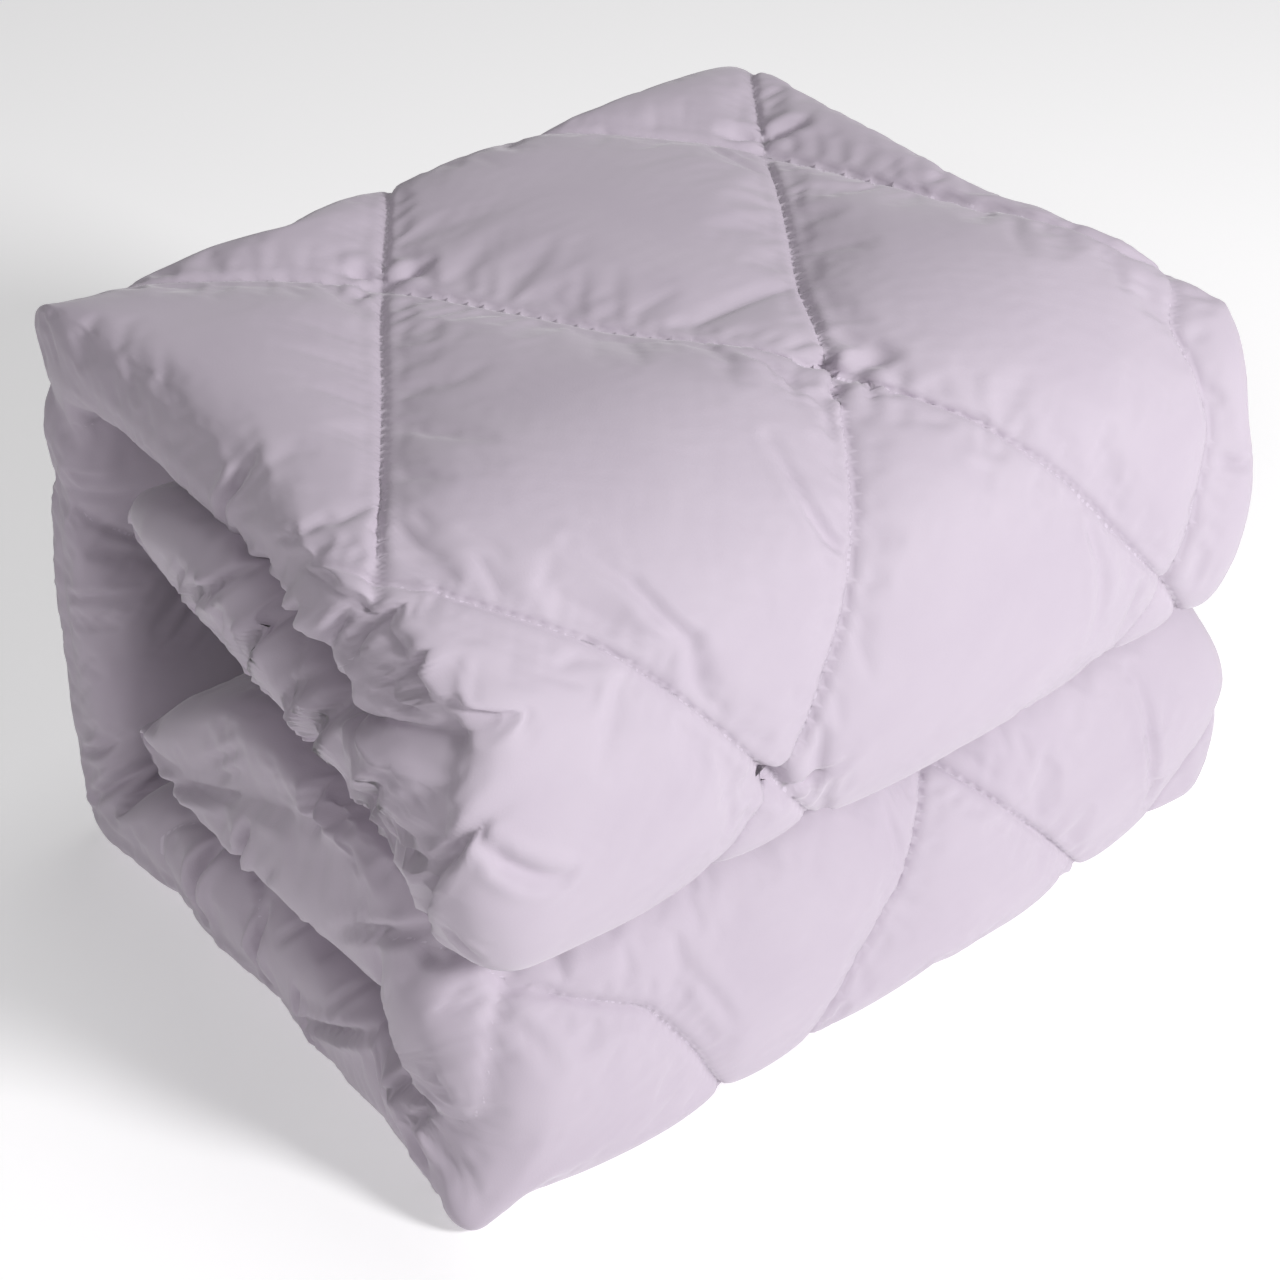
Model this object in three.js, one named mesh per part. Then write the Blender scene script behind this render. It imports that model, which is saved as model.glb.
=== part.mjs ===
// A thick quilt, folded in the book way and laid on its back panel: both of its ends are
// turned in, and the two turned-in halves are closed on each other. Millimetres, +Z up.
// X runs along the folds, Y from the rounded front rolls to the flat spine at the back,
// and the origin is under the middle of the folded bundle, on the surface it rests on.
import * as THREE from 'three';

// Size of the folded bundle
const LENGTH = 596;
const DEPTH = 450;

// One cell of the diamond quilting: the distance from crossing to crossing along the folds,
// and the number of mesh steps in half a cell, both ways, so that seams run along mesh edges
const CELL_LENGTH = 304;
const STEPS_PER_HALF_CELL = 7;

// Where the crossings of even rows lie, measured from the middle of the bundle
const CROSSING_X = 46;

// The sewn seams: a narrow groove along each one, and the wide crown of the filling between
// them. The lining, which lies against its neighbour, is pulled in less than the skin.
const GROOVE = { depth: 9, reach: 17 };
const CROWN = { depth: 5, reach: 60 };
const LINING_SHARE = 0.4;

// The rounded ends of the layers: their depth as a share of half the thickness and at most,
// the power of the curve, and how far a seam draws the end in
const END_ROUNDING = 0.9;
const END_ROUNDING_MOST = 30;
const END_POWER = 2.3;
const END_DRAW_IN = { depth: 10, reach: 24 };
const DEEPEST_PULL = 0.6;

// The folded section, from one free edge to the other. The skin is the face that shows
// outside, the lining is the face turned in. Distances y run from the front, z from the floor.
// quiltRow counts the rows of quilting crossings where one lies on this place.
const SECTION = [
  { place: 'lower free edge',    skin: { y: 349, z: 149 }, lining: { y: 349, z: 142 } },
  { place: 'lower hem seam',     skin: { y: 337, z: 152 }, lining: { y: 337, z: 139 } },
  { place: 'lower layer, back',  skin: { y: 300, z: 206 }, lining: { y: 304, z: 120 } },
  { place: 'lower layer, mid',   skin: { y: 225, z: 236 }, lining: { y: 225, z: 117 } },
  { place: 'lower layer, front', skin: { y: 124, z: 223 }, lining: { y: 130, z: 109 } },
  { place: 'lower roll, top',    skin: { y: 70, z: 202 },  lining: { y: 100, z: 102 } },
  { place: 'lower roll, brow',   skin: { y: 32, z: 170 },  lining: { y: 86, z: 97 }, quiltRow: 0 },
  { place: 'lower roll, front',  skin: { y: 2, z: 112 },   lining: { y: 80, z: 92 } },
  { place: 'lower roll, foot',   skin: { y: 0, z: 28 },    lining: { y: 84, z: 87 } },
  { place: 'lower roll, sole',   skin: { y: 20, z: -3 },   lining: { y: 98, z: 85 } },
  { place: 'base, front',        skin: { y: 120, z: -5 },  lining: { y: 140, z: 95 } },
  { place: 'base, mid',          skin: { y: 240, z: -5 },  lining: { y: 235, z: 106 } },
  { place: 'base, back',         skin: { y: 370, z: -5 },  lining: { y: 345, z: 98 } },
  { place: 'spine, heel',        skin: { y: 440, z: 2 },   lining: { y: 394, z: 66 } },
  { place: 'spine, low',         skin: { y: 454, z: 46 },  lining: { y: 402, z: 96 } },
  { place: 'spine, mid',         skin: { y: 457, z: 190 }, lining: { y: 403, z: 190 } },
  { place: 'spine, high',        skin: { y: 455, z: 347 }, lining: { y: 401, z: 312 } },
  { place: 'spine, shoulder',    skin: { y: 445, z: 393 }, lining: { y: 388, z: 336 } },
  { place: 'top layer, back',    skin: { y: 359, z: 399 }, lining: { y: 345, z: 344 }, quiltRow: 5 },
  { place: 'top layer, mid',     skin: { y: 225, z: 399 }, lining: { y: 232, z: 343 } },
  { place: 'upper roll, crown',  skin: { y: 114, z: 396 }, lining: { y: 158, z: 330 }, quiltRow: 6 },
  { place: 'upper roll, brow',   skin: { y: 34, z: 348 },  lining: { y: 118, z: 313 } },
  { place: 'upper roll, front',  skin: { y: -3, z: 270 },  lining: { y: 106, z: 304 } },
  { place: 'upper roll, chin',   skin: { y: -3, z: 205 },  lining: { y: 110, z: 297 }, quiltRow: 7 },
  { place: 'upper roll, sole',   skin: { y: 16, z: 172 },  lining: { y: 122, z: 294 } },
  { place: 'upper roll, throat', skin: { y: 60, z: 204 },  lining: { y: 142, z: 301 } },
  { place: 'upper layer, front', skin: { y: 124, z: 229 }, lining: { y: 178, z: 317 } },
  { place: 'upper layer, mid',   skin: { y: 225, z: 244 }, lining: { y: 232, z: 334 } },
  { place: 'upper layer, back',  skin: { y: 300, z: 260 }, lining: { y: 302, z: 322 } },
  { place: 'upper hem seam',     skin: { y: 337, z: 284 }, lining: { y: 337, z: 297 } },
  { place: 'upper free edge',    skin: { y: 349, z: 287 }, lining: { y: 349, z: 294 } },
];

// How much further than half the length the two ends reach at some rows of the quilting
const ENDS = [
  { row: -2, left: 0, right: -10 },
  { row: 0, left: 2, right: -4 },
  { row: 0.7, left: 12, right: 4 },
  { row: 2, left: 4, right: 0 },
  { row: 3, left: 0, right: -14 },
  { row: 4.5, left: -4, right: -46 },
  { row: 5, left: -6, right: -42 },
  { row: 6, left: 0, right: -18 },
  { row: 6.6, left: 0, right: 4 },
  { row: 7, left: 0, right: -8 },
  { row: 9, left: -4, right: -24 },
];

const last = SECTION.length - 1;
const faceCurve = (face) => new THREE.CatmullRomCurve3(
  SECTION.map((row) => new THREE.Vector3(0, row[face].y, row[face].z)), false, 'catmullrom', 0.5);
const skinCurve = faceCurve('skin');
const liningCurve = faceCurve('lining');

// Length of the skin from the lower free edge to each of many even steps of the section
const SAMPLES_PER_ROW = 24;
function skinLengths() {
  const count = last * SAMPLES_PER_ROW;
  const lengths = [0];
  let before = skinCurve.getPoint(0);
  for (let i = 1; i <= count; i += 1) {
    const here = skinCurve.getPoint(i / count);
    lengths.push(lengths[i - 1] + here.distanceTo(before));
    before = here;
  }
  return lengths;
}
const lengths = skinLengths();

// Straight-line reading of a table of pairs, carried on past both of its ends
function readTable(table, from, to, value) {
  let i = 1;
  while (i < table.length - 1 && table[i][from] < value) i += 1;
  const a = table[i - 1];
  const b = table[i];
  return a[to] + (b[to] - a[to]) * (value - a[from]) / (b[from] - a[from]);
}

// Quilting rows against length along the skin, and section place against length
const rowTable = SECTION.flatMap((row, i) => (
  row.quiltRow === undefined ? [] : [{ row: row.quiltRow, length: lengths[i * SAMPLES_PER_ROW] }]));
const placeTable = lengths.map((length, i) => ({ length, place: i / (lengths.length - 1) }));
const rowAtLength = (length) => readTable(rowTable, 'length', 'row', length);
const placeAtRow = (row) => readTable(placeTable, 'length', 'place', readTable(rowTable, 'row', 'length', row));

// Every station along the section: the hems, and even steps of the quilting between them
function makeStations() {
  const firstRow = rowAtLength(lengths[SAMPLES_PER_ROW]);
  const lastRow = rowAtLength(lengths[(last - 1) * SAMPLES_PER_ROW]);
  const hemRow = (index) => rowAtLength(lengths[index * SAMPLES_PER_ROW]);
  const stations = [{ place: 0, row: hemRow(0) }, { place: 1 / last, row: firstRow }];
  const step = 1 / STEPS_PER_HALF_CELL;
  const margin = step / 2;
  for (let k = Math.ceil((firstRow + margin) / step); k * step < lastRow - margin; k += 1) {
    stations.push({ place: placeAtRow(k * step), row: k * step });
  }
  stations.push({ place: (last - 1) / last, row: lastRow }, { place: 1, row: hemRow(last) });
  return stations;
}

// Distance to the nearest seam of each of the two slanting families, in millimetres
const ROW_SPACING = 240;
const FAMILY_SPACING = 1 / Math.hypot(1 / CELL_LENGTH, 1 / (2 * ROW_SPACING));
function seamDistances(x, row) {
  const column = (x - CROSSING_X) / CELL_LENGTH;
  const toWhole = (value) => Math.abs(value - Math.round(value)) * FAMILY_SPACING;
  return { rising: toWhole(column - row / 2), falling: toWhole(column + row / 2) };
}

// Depth of the hollow that the seams pull into a face
function seamPull(x, row) {
  const { rising, falling } = seamDistances(x, row);
  const hollow = (distance, { depth, reach }) => depth * Math.exp(-distance / reach);
  const near = Math.min(rising, falling);
  const far = Math.max(rising, falling);
  return hollow(near, GROOVE) + hollow(near, CROWN) + 0.3 * hollow(far, CROWN);
}

// The columns across one face: even steps in the middle, one wider step, then the rounded end
const STEP_X = CELL_LENGTH / (2 * STEPS_PER_HALF_CELL);
const MIDDLE_STEPS = 11;
const MIDDLE_SHIFT = 2;
const ROUND_ANGLES = [0, 32, 62].map((degrees) => THREE.MathUtils.degToRad(degrees));

function faceColumns(row, half) {
  const middle = [];
  for (let k = -MIDDLE_STEPS; k <= MIDDLE_STEPS; k += 1) {
    middle.push({ x: CROSSING_X + (k - MIDDLE_SHIFT) * STEP_X, rounding: 1 });
  }
  const sideColumns = (side) => {
    const further = readTable(ENDS, 'row', side < 0 ? 'left' : 'right', row);
    const ends = seamDistances(side * (LENGTH / 2 + further), row);
    const nearest = Math.min(ends.rising, ends.falling);
    const drawIn = END_DRAW_IN.depth * Math.exp(-nearest / END_DRAW_IN.reach);
    const reach = LENGTH / 2 + further - drawIn;
    const depth = Math.min(half * END_ROUNDING, END_ROUNDING_MOST);
    const inner = side < 0 ? middle[0].x : middle[middle.length - 1].x;
    const round = ROUND_ANGLES.map((angle) => (
      {
        x: side * (reach - depth * (1 - Math.sin(angle))),
        rounding: (1 - Math.sin(angle) ** END_POWER) ** (1 / END_POWER),
      }));
    const wide = { x: (inner + round[0].x) / 2, rounding: 1 };
    return [wide, ...round, { x: side * reach, rounding: 0 }];
  };
  return [...sideColumns(-1).reverse(), ...middle, ...sideColumns(1)];
}

// The ring of points round the cloth at one station: along the skin, and back along the lining
function makeRing({ place, row }) {
  const skin = skinCurve.getPoint(place);
  const lining = liningCurve.getPoint(place);
  const centre = skin.clone().add(lining).multiplyScalar(0.5);
  const half = skin.distanceTo(lining) / 2;
  const outward = skin.clone().sub(lining).normalize();
  const columns = faceColumns(row, half);
  const point = (column, side) => {
    const share = side < 0 ? LINING_SHARE : 1;
    const pull = Math.min(share * seamPull(column.x, row), half * DEEPEST_PULL);
    const lift = side * (half - pull) * column.rounding;
    return new THREE.Vector3(
      column.x,
      centre.y + outward.y * lift - DEPTH / 2,
      Math.max(centre.z + outward.z * lift, 0),
    );
  };
  const skinPoints = columns.map((column) => point(column, 1));
  const liningPoints = columns.slice(1, -1).map((column) => point(column, -1)).reverse();
  return { points: [...skinPoints, ...liningPoints], columns };
}

// The quilt as one closed mesh: rings joined by faces whose diagonals follow the seams
function makeQuilt() {
  const stations = makeStations();
  const rings = stations.map(makeRing);
  const count = rings[0].points.length;
  const across = rings[0].columns.length;
  const positions = rings.flatMap((ring) => ring.points.flatMap((point) => point.toArray()));
  const faces = [];
  const columnOf = (index) => (index < across ? index : 2 * (across - 1) - index);
  for (let i = 0; i < rings.length - 1; i += 1) {
    for (let j = 0; j < count; j += 1) {
      const next = (j + 1) % count;
      const a = i * count + j;
      const b = i * count + next;
      const c = a + count;
      const d = b + count;
      const x = (rings[i].columns[columnOf(j)].x + rings[i].columns[columnOf(next)].x) / 2;
      const row = (stations[i].row + stations[i + 1].row) / 2;
      const { rising, falling } = seamDistances(x, row);
      const onSkin = j < across - 1;
      if ((rising < falling) === onSkin) faces.push(a, d, b, a, c, d);
      else faces.push(a, c, b, b, c, d);
    }
  }
  const closeEnd = (start, flip) => {
    for (let j = 0; j < across - 1; j += 1) {
      const skinA = start + j;
      const skinB = start + j + 1;
      const liningA = start + (count - j) % count;
      const liningB = j + 1 === across - 1 ? skinB : start + count - j - 1;
      const corners = [[skinA, liningA, liningB], [skinA, liningB, skinB]];
      for (const [p, q, r] of corners) {
        if (p !== q && q !== r && p !== r) faces.push(...(flip ? [p, q, r] : [p, r, q]));
      }
    }
  };
  closeEnd(0, false);
  closeEnd((rings.length - 1) * count, true);
  const geometry = new THREE.BufferGeometry();
  geometry.setAttribute('position', new THREE.Float32BufferAttribute(positions, 3));
  geometry.setIndex(faces);
  geometry.computeBoundingBox();
  const middle = geometry.boundingBox.getCenter(new THREE.Vector3());
  geometry.translate(-middle.x, -middle.y, 0);
  geometry.computeVertexNormals();
  return geometry;
}

const coverCloth = new THREE.MeshStandardMaterial({ color: 0xb9adbf, roughness: 0.85, metalness: 0 });
const quilt = new THREE.Mesh(makeQuilt(), coverCloth);
quilt.name = 'quilt';

const model = new THREE.Group();
model.add(quilt);

export default model;
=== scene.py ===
# %% [markdown]
# A thick quilt, folded in the book way, stands on a pale floor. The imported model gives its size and
# place, and this lesson gives it its look: filled cells between sewn seams, gathered ends, creases
# and a woven cover. Everything is worked out in millimetres and made in metres, in the same frame
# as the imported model: X along the folds, Y from the rounded front rolls to the flat spine, Z up.
# The quilt is one sewn piece, so it is one mesh, and each step below adds to the same grid of points.

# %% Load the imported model
import bpy
import math
import numpy as np
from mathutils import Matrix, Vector


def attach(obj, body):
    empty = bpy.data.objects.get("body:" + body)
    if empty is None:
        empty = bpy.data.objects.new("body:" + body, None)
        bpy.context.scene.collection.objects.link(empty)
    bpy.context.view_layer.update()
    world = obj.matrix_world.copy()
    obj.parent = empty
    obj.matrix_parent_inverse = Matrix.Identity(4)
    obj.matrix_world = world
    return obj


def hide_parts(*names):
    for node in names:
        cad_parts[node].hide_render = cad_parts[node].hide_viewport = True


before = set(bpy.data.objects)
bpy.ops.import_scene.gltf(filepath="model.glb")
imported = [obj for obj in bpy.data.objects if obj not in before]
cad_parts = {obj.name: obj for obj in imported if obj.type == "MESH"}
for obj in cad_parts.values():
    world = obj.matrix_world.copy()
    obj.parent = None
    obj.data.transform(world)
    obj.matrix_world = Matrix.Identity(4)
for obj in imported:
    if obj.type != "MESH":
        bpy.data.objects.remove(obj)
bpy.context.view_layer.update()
MM = 0.001

# %% [markdown]
# The camera comes first, because every later picture is judged through it. It stands where the
# photograph was taken from: above and to the left of the front, with a long lens, so that the far
# edges of the bundle hardly shrink.

# %% Camera
CAMERA_AT = Vector((-831.4, -1019.1, 1155.9)) * MM
CAMERA_LOOKS_AT = Vector((-42.2, -34.6, 192.6)) * MM
LENS_MM = 75.8
SENSOR_MM = 36.0

camera_data = bpy.data.cameras.new("camera")
camera_data.lens = LENS_MM
camera_data.sensor_width = SENSOR_MM
camera_data.sensor_fit = "HORIZONTAL"
camera_data.dof.use_dof = False
camera = bpy.data.objects.new("camera", camera_data)
camera.location = CAMERA_AT
camera.rotation_euler = (CAMERA_LOOKS_AT - CAMERA_AT).to_track_quat("-Z", "Y").to_euler()
bpy.context.scene.collection.objects.link(camera)
bpy.context.scene.camera = camera
print("camera stands", round((CAMERA_AT - CAMERA_LOOKS_AT).length, 3), "m away")

# %% [markdown]
# The cloth is one long ply. Seen from its end it runs from the lower free edge forward, round the
# lower roll, back under the bundle, up the spine, forward over the top, round the upper roll and
# back to the upper free edge. It could be drawn as one curve with a thickness, but its thickness
# changes on the way, so two curves are given: the skin, which shows outside, and the lining, which
# is folded in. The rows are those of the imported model, so both shapes agree. The length of the skin
# along this curve is the second coordinate of everything that is sewn or pressed into the cloth.

# %% The folded section
# Skin y, skin z, lining y, lining z. Distances y run from the front, z from the floor.
SECTION = np.array([
    (343, 160, 343, 134), (337, 168, 337, 127), (300, 203, 304, 119), (225, 236, 225, 117),
    (124, 223, 130, 109), (70, 202, 100, 102), (32, 170, 86, 97), (2, 112, 80, 92),
    (0, 28, 84, 87), (20, -3, 98, 85), (120, -5, 140, 95), (240, -5, 235, 106),
    (370, -5, 345, 98), (440, 2, 394, 66), (454, 46, 402, 96), (457, 190, 403, 190),
    (455, 347, 401, 312), (445, 393, 388, 336), (359, 399, 345, 344), (225, 399, 232, 343),
    (114, 396, 158, 330), (34, 348, 118, 313), (-3, 270, 106, 304), (-3, 205, 110, 297),
    (16, 172, 122, 294), (60, 204, 142, 301), (124, 229, 178, 320), (225, 244, 232, 338),
    (300, 258, 302, 331), (337, 268, 337, 316), (343, 272, 343, 308),
], float)
DEPTH = 450.0
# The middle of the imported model's box, measured from the middle of the section
SHIFT_X = 3.8
SHIFT_Y = -0.25
STEPS_PER_ROW = 24
# Skin lengths are counted so that this row lies at this length
MARKED_ROW = 3
MARKED_LENGTH = 162.0


def spline(points, place):
    """Smooth curve through the points: on each stretch a cubic that leaves and arrives along half
    the line between the neighbours on both sides. place counts the points from nought."""
    points = np.vstack([2 * points[0] - points[1], points, 2 * points[-1] - points[-2]])
    start = np.clip(np.floor(place).astype(int), 0, len(points) - 4)
    t = (place - start)[..., None]
    a, b, c, d = (points[start + k] for k in range(4))
    leave, arrive = (c - a) / 2, (d - b) / 2
    return ((2 * t**3 - 3 * t**2 + 1) * b + (t**3 - 2 * t**2 + t) * leave
            + (3 * t**2 - 2 * t**3) * c + (t**3 - t**2) * arrive)


last = len(SECTION) - 1
section_place = np.linspace(0, last, STEPS_PER_ROW * last + 1)
skin_steps = np.diff(spline(SECTION[:, :2], section_place), axis=0)
skin_length = np.concatenate([[0.0], np.cumsum(np.hypot(skin_steps[:, 0], skin_steps[:, 1]))])
skin_length += MARKED_LENGTH - skin_length[MARKED_ROW * STEPS_PER_ROW]
print("skin runs from", round(skin_length[0]), "to", round(skin_length[-1]), "mm")

# %% [markdown]
# The sewn seams cross the cloth in two slanting families, and where two of them cross, a tuft holds
# the filling. On the real quilt they are straight when it lies flat. Folded and pressed by its own
# weight they wander, so each line is given by the points that it passes, as distance along the
# bundle against length along the skin. A line then is a function of length alone, and the distance
# from any point to it is one subtraction.

# %% Seam lines
# x and skin length in mm, from the lower free edge to the upper one
RISING_SEAMS = [
    [(46, -105), (196, 131), (345, 373)],
    [(-254, -105), (-104, 131), (48, 374), (65, 400), (88, 432), (124, 481), (152, 519),
     (211, 600), (346, 840)],
    [(-404, 131), (-249, 374), (-225, 399), (-178, 434), (-148, 492), (-131, 532), (-94, 600),
     (46, 840), (196, 1080), (301, 1309), (451, 1486)],
    [(-399, 600), (-254, 840), (-104, 1080), (16, 1309), (90, 1398), (107, 1416), (175, 1491),
     (198, 1570), (225, 1642), (256, 1724), (431, 1950)],
    [(-404, 1080), (-314, 1309), (-201, 1400), (-105, 1480), (-41, 1604), (-1, 1666), (36, 1720),
     (64, 1759), (86, 1785), (131, 1848), (163, 1901), (207, 1959), (341, 2150)],
    [(-389, 1486), (-265, 1724), (-227, 1768), (-186, 1811), (-156, 1854), (-95, 1951), (41, 2150),
     (191, 2385)],
    [(-399, 1950), (-254, 2150), (-104, 2385)],
]
FALLING_SEAMS = [
    [(46, -105), (-104, 131), (-252, 374), (-266, 395), (-276, 433), (-284, 484), (-399, 600)],
    [(346, -105), (196, 131), (48, 374), (32, 405), (9, 445), (-18, 486), (-44, 527), (-94, 600),
     (-254, 840), (-404, 1080)],
    [(345, 373), (211, 600), (46, 840), (-104, 1080), (-314, 1309)],
    [(501, 600), (346, 840), (196, 1080), (16, 1309), (-51, 1402), (-105, 1480), (-199, 1624),
     (-265, 1724), (-399, 1950)],
    [(496, 1080), (301, 1309), (225, 1414), (175, 1491), (130, 1562), (75, 1642), (36, 1720),
     (-14, 1812), (-34, 1849), (-62, 1891), (-95, 1949), (-254, 2150)],
    [(451, 1486), (310, 1724), (248, 1788), (247, 1830), (245, 1859), (225, 1899), (207, 1959),
     (41, 2150), (-104, 2385)],
    [(481, 1950), (341, 2150), (191, 2385)],
]
SEAM_STEP = 2.0
SEAM_EASE = 5
FAR = 900.0

length_table = np.arange(-160.0, 2460.0, SEAM_STEP)


def seam_line(points):
    """x of one seam at every length of the table: straight stretches between its points, rounded
    with a short running mean. The second result says where the seam runs at all."""
    x, length = np.array(points, float).T
    line = np.interp(length_table, length, x)
    padded_line = np.pad(line, SEAM_EASE, mode="edge")
    window = np.hanning(2 * SEAM_EASE + 1)
    line = np.convolve(padded_line, window / window.sum(), mode="valid")
    inside = (length_table >= length[0] - SEAM_STEP) & (length_table <= length[-1] + SEAM_STEP)
    return line, inside


def family_field(seams, x, length):
    """Distance from every point to the nearest seam of one family, the place along that seam and
    its number. The distance is the gap in x times the cosine of the seam's slope."""
    nearest = np.full(x.shape, FAR)
    along = np.zeros(x.shape)
    number = np.zeros(x.shape, int)
    for index, points in enumerate(seams):
        line, inside = seam_line(points)
        slope = np.gradient(line, SEAM_STEP)
        gap = x - np.interp(length, length_table, line)
        tilt = np.interp(length, length_table, slope)
        run = 1 + tilt**2
        beyond = FAR * np.interp(length, length_table, 1.0 - inside)
        distance = np.abs(gap) / np.sqrt(run) + beyond
        foot = length + gap * tilt / run
        closer = distance < nearest
        nearest = np.where(closer, distance, nearest)
        along = np.where(closer, foot * np.sqrt(run), along)
        number = np.where(closer, index + 1, number)
    return nearest, along, number


print("seams:", len(RISING_SEAMS), "rising and", len(FALLING_SEAMS), "falling")

# %% [markdown]
# At both ends of the bundle the cloth closes in its side seam, where skin and lining are sewn
# together. The seam is not in the middle of the thickness: at the left end, which the photograph
# shows, the upper turned-in layer bulges over it, and on the lower roll the skin wraps round to
# meet it far inside. A table says where it lies and how softly both faces come down to it.

# %% Ends of the bundle
HALF_LENGTH = 298.0
# Skin length, further reach at the left, further reach at the right
END_REACH = np.array([
    (19, -6, -10), (131, -6, -12), (264, -2, -28), (300, 2, -34), (322, 4, -34), (372, 4, -26),
    (440, 4, -10), (520, 0, 0), (600, -2, 0), (840, -4, -2), (1080, -3, -16), (1318, -10, -38),
    (1340, -14, -42), (1400, -16, -54), (1472, -16, -60), (1606, -12, -58), (1690, -8, -44),
    (1717, -10, -32), (1737, -18, -24), (1790, -20, 0), (1812, -24, -6), (1827, -31, -10),
    (1838, -22, -12), (1860, -8, -18), (1900, -4, -22), (1935, 2, -26), (1965, 4, -28),
    (2005, -2, -32), (2060, -10, -34), (2231, -12, -34), (2360, -18, -30),
], float)
# Skin length, place of the side seam (1 at the skin, -1 at the lining), depth of the round of the
# skin and of the lining, and how far each of the two bulges past the seam
LEFT_END = np.array([
    (19, -0.3, 12, 14, 6, 6), (40, -0.5, 20, 20, 8, 8), (80, -0.45, 30, 26, 12, 12),
    (140, 0.0, 22, 28, 10, 14), (205, 0.6, 14, 26, 6, 14), (250, 0.8, 10, 24, 2, 10),
    (280, 0.5, 16, 22, 0, 6), (300, 0.0, 28, 18, 0, 2), (318, -0.5, 44, 14, 0, 0),
    (336, -0.85, 56, 10, 0, 0), (372, -0.95, 66, 10, 0, 0), (438, -0.95, 62, 10, 0, 0),
    (480, -0.85, 50, 12, 0, 0), (505, -0.5, 36, 14, 0, 2), (525, 0.0, 24, 16, 0, 4),
    (545, 0.5, 14, 18, 0, 6), (563, 0.6, 12, 20, 0, 6), (600, 0.5, 12, 24, 0, 9),
    (664, 0.5, 14, 26, 0, 11), (914, 0.4, 14, 28, 0, 12),
    (985, 0.1, 22, 25, 4, 6), (1178, 0.1, 25, 28, 6, 9), (1318, 0.1, 14, 25, 0, 6),
    (1400, -0.1, 10, 22, 0, 2), (1472, -0.2, 12, 16, 0, 0), (1606, -0.2, 20, 14, 0, 0),
    (1670, 0.1, 24, 16, 2, 4), (1700, 0.35, 24, 20, 2, 14), (1727, 0.55, 22, 22, 2, 20),
    (1770, 0.6, 20, 24, 2, 22), (1812, 0.6, 20, 24, 2, 24), (1840, 0.55, 24, 26, 2, 24),
    (1865, 0.5, 34, 28, 4, 22), (1900, 0.4, 44, 28, 6, 20), (1935, 0.05, 52, 26, 8, 14),
    (1968, -0.35, 52, 22, 8, 8), (2000, -0.3, 40, 22, 6, 8), (2035, 0.3, 24, 22, 4, 14),
    (2070, 0.75, 12, 20, 2, 20), (2129, 0.85, 10, 18, 2, 24), (2231, 0.85, 10, 18, 2, 26),
    (2308, 0.8, 10, 18, 2, 24), (2340, 0.6, 10, 16, 3, 14), (2354, 0.3, 8, 12, 3, 6),
], float)
RIGHT_END = np.array([
    (19, 0, 10, 10, 2, 2), (50, 0, 28, 28, 6, 6), (2325, 0, 28, 28, 6, 6), (2354, 0, 8, 8, 2, 2),
], float)
END_POWER = 2.3
# Where a sewn line reaches an end it draws the side seam in: how deep, and how quickly it fades
DRAW_IN = (5.0, 18.0)


def read(table, column, length):
    """Straight-line reading of one column of a table whose first column is the skin length."""
    return np.interp(length, table[:, 0], table[:, column])


print("left end reaches", round(HALF_LENGTH + float(END_REACH[:, 1].max())), "mm at most")

# %% [markdown]
# One function lays the grid of points. Its two parameters are the place along the section and the
# place round the ply: out along the skin from the left side seam to the right one, and back along
# the lining. Near a seam both faces sink towards each other, steeply at the stitches and gently
# over the crown of the cell, which is what makes filled cloth look filled. The columns are moved
# onto the seams, because a groove of a few millimetres that ran between two columns would show as
# a row of steps. Last, the whole bundle leans a little here and there, as a heap of cloth does.

# %% The filled cloth as a grid
# Depth and reach of the two exponentials of a groove
GROOVES = [(3.0, 2.5), (2.5, 9.0)]
# Depth, reach and power of the crown of a cell
CROWN = (5.5, 112.0, 2.6)
# The lining sinks by this share of what the skin does, and no face by more than this share of half
# the ply
LINING_SHARE = 0.6
DEEPEST_PULL = 0.75
HEM_ROUND = 8.0
# The simulation blows the skin up by about this much, so it starts further in
SKIN_INSET = 5.0
# Where the bundle leans away from its even section: x, skin length, reach of the push along both,
# and the push in x, y and z
LEANS = [
    # the lower front edge, set back at both ends, and its left tip
    (-300, 545, 110, 70, 0, 12, 0),
    (-300, 548, 30, 18, -8, 0, -3),
    (300, 545, 130, 70, 0, 16, 0),
    # the upper left back corner
    (-300, 1400, 30, 40, -6, 4, 4),
    # the underside of the upper roll, the top of the lower one and the layer turned in between
    # the upper roll and the spine, all lifted at the left end
    (-300, 1975, 150, 90, 0, 2, 14),
    (-300, 325, 60, 60, 0, 0, 4),
    (-300, 2190, 90, 120, 0, 0, 13),
    (-300, 2060, 60, 50, 0, 4, 8),
    # the two free edges, pushed towards the spine at mid length
    (140, 19, 150, 150, 0, 30, 0),
    (140, 2354, 150, 150, 0, 30, 0),
]
# A column moves onto a seam from no further than this share of a step, and the columns beside it
# follow by the second share
SNAP_FROM = 0.6
SNAP_FOLLOW = 0.35


def seam_pull(rising, falling):
    """Depth of the hollow at a distance from a seam of each family: falling exponentials at the
    stitches and a crown that rises as a power of the distance, added up over both families."""
    depth, reach, power = CROWN
    hollow = 0
    for distance in (rising, falling):
        hollow = hollow + sum(size * np.exp(-distance / fade) for size, fade in GROOVES)
        hollow = hollow + depth * np.clip(1 - distance / reach, 0, 1) ** power
    return hollow


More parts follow.
